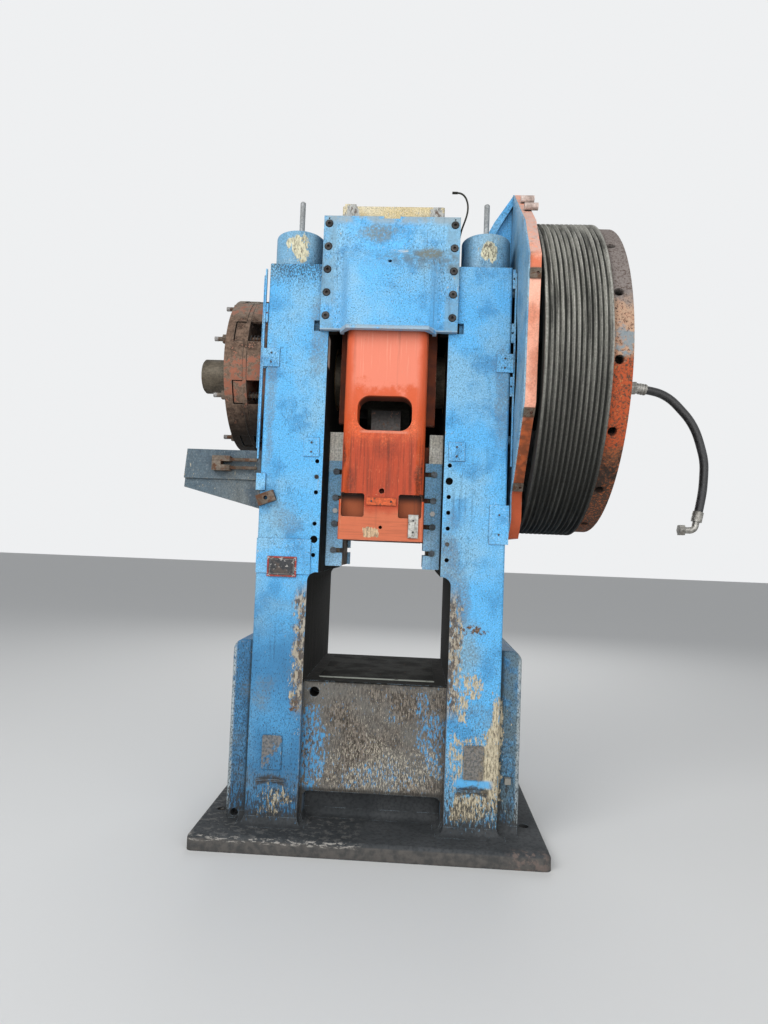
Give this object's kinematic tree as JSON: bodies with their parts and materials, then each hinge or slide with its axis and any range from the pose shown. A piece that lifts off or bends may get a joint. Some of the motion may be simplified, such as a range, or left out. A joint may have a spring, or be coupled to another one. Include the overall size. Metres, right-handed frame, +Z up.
{
  "type": "forging press",
  "caption": "Mechanical hot forging press: tall cast frame with a guided ram in front, a grooved flywheel with its clutch on the right and a spring-set disc brake on the left.",
  "frame": {"origin": "middle of the base's underside, straight below the shaft's axis", "axes": "+Z up; X along the shaft, from the brake on the left to the flywheel on the right; -Y towards the press's front"},
  "size_m": [2.9675, 1.748, 3.515],
  "materials": {
    "blue_paint": "weathered blue enamel with chips and grime",
    "orange_paint": "weathered orange enamel with grime",
    "rusty_orange": "worn orange paint over rust",
    "cream_paint": "old cream primer",
    "black_grease": "oily black plate",
    "grooved_iron": "dark machined iron, dusty",
    "bare_steel": "worn bare steel",
    "dark_steel": "oiled dark steel",
    "rusty_steel": "rusty steel",
    "bronze": "bearing bronze",
    "friction_lining": "friction disc",
    "hose_rubber": "black hose, satin",
    "plate_sign": "bare name plate, red and silver"
  },
  "bodies": {
    "frame_body": {"frame": "blue_paint", "front_cover": "blue_paint", "cover_screws": "dark_steel", "crown_cap": "cream_paint", "rear_hatch": "blue_paint", "hatch_screws": "dark_steel", "tie_rods": "dark_steel", "tie_rod_nuts": "blue_paint", "anchor_nuts": "dark_steel", "lifting_studs": "bare_steel", "main_bushes": "bronze", "side_gibs": "bronze", "upper_gibs": "bare_steel", "gib_plates": "blue_paint", "gib_screws": "bare_steel", "side_bracket": "dark_steel", "bracket_valve": "rusty_steel", "small_plates": "blue_paint", "face_screws": "dark_steel", "nameplate": "plate_sign", "hook_lug": "rusty_steel", "side_strips": "blue_paint", "guard_plate": "blue_paint", "guard_strip": "orange_paint", "guard_tabs": "bare_steel", "guard_bosses": "bare_steel", "guard_gussets": "blue_paint", "guard_standoffs": "blue_paint", "brake_anchor": "rusty_steel", "brake_spring_ring": "rusty_orange", "brake_springs": "dark_steel", "brake_housing": "rusty_orange", "brake_studs": "rusty_steel", "lube_pipe": "dark_steel", "bed_liner": "black_grease"},
    "shaft_body": {"main_shaft": "bare_steel", "eccentric": "bare_steel", "eccentric_key": "bare_steel", "brake_disc": "friction_lining", "clutch_hub": "bare_steel", "clutch_disc": "friction_lining", "union_rotor": "bare_steel"},
    "pitman_body": {"pitman": "dark_steel", "pitman_bush": "bronze"},
    "ram_body": {"ram": "orange_paint", "wrist_pin": "bare_steel", "pin_keepers": "dark_steel", "ram_plates": "bare_steel", "ram_plate_screws": "dark_steel"},
    "flywheel_body": {"flywheel": "grooved_iron", "flywheel_bearings": "bronze", "clutch_drum": "rusty_orange", "clutch_cover": "rusty_orange", "clutch_cover_screws": "dark_steel"},
    "brake_plate_body": {"brake_pressure_plate": "rusty_steel"},
    "clutch_plate_body": {"clutch_plate": "dark_steel"},
    "union_body_group": {"union_body": "bare_steel", "hose_coupling": "dark_steel", "air_hose": "hose_rubber", "hose_end": "bare_steel"}
  },
  "joints": [
    {"name": "shaft_turn", "type": "hinge", "parent": "frame_body", "child": "shaft_body", "pos_m": [0, 0, 2.482], "axis": [1, 0, 0], "range_deg": [0, 180]},
    {"name": "pitman_turn", "type": "hinge", "parent": "shaft_body", "child": "pitman_body", "pos_m": [0, 0, 2.572], "axis": [1, 0, 0], "range_deg": [-180, 0]},
    {"name": "ram_slide", "type": "slide", "parent": "frame_body", "child": "ram_body", "axis": [0, 0, 1], "range_m": [-0.18, 0]},
    {"name": "flywheel_spin", "type": "hinge", "parent": "shaft_body", "child": "flywheel_body", "pos_m": [0.95, 0, 2.482], "axis": [1, 0, 0], "continuous": true},
    {"name": "brake_release", "type": "slide", "parent": "frame_body", "child": "brake_plate_body", "axis": [1, 0, 0], "range_m": [0, 0.003], "stiffness_N_per_m": 40000, "springref_m": -0.01},
    {"name": "clutch_press", "type": "slide", "parent": "flywheel_body", "child": "clutch_plate_body", "axis": [1, 0, 0], "range_m": [-0.003, 0], "stiffness_N_per_m": 20000, "springref_m": 0.01},
    {"name": "union_swivel", "type": "hinge", "parent": "frame_body", "child": "union_body_group", "pos_m": [1.35, 0, 2.482], "axis": [1, 0, 0], "continuous": true}
  ],
  "couplings": [
    {"joint": "pitman_turn", "follows": "shaft_turn", "ratio": -1},
    {"joint": "ram_slide", "follows": "shaft_turn", "m_per_rad": -0.057295}
  ]
}
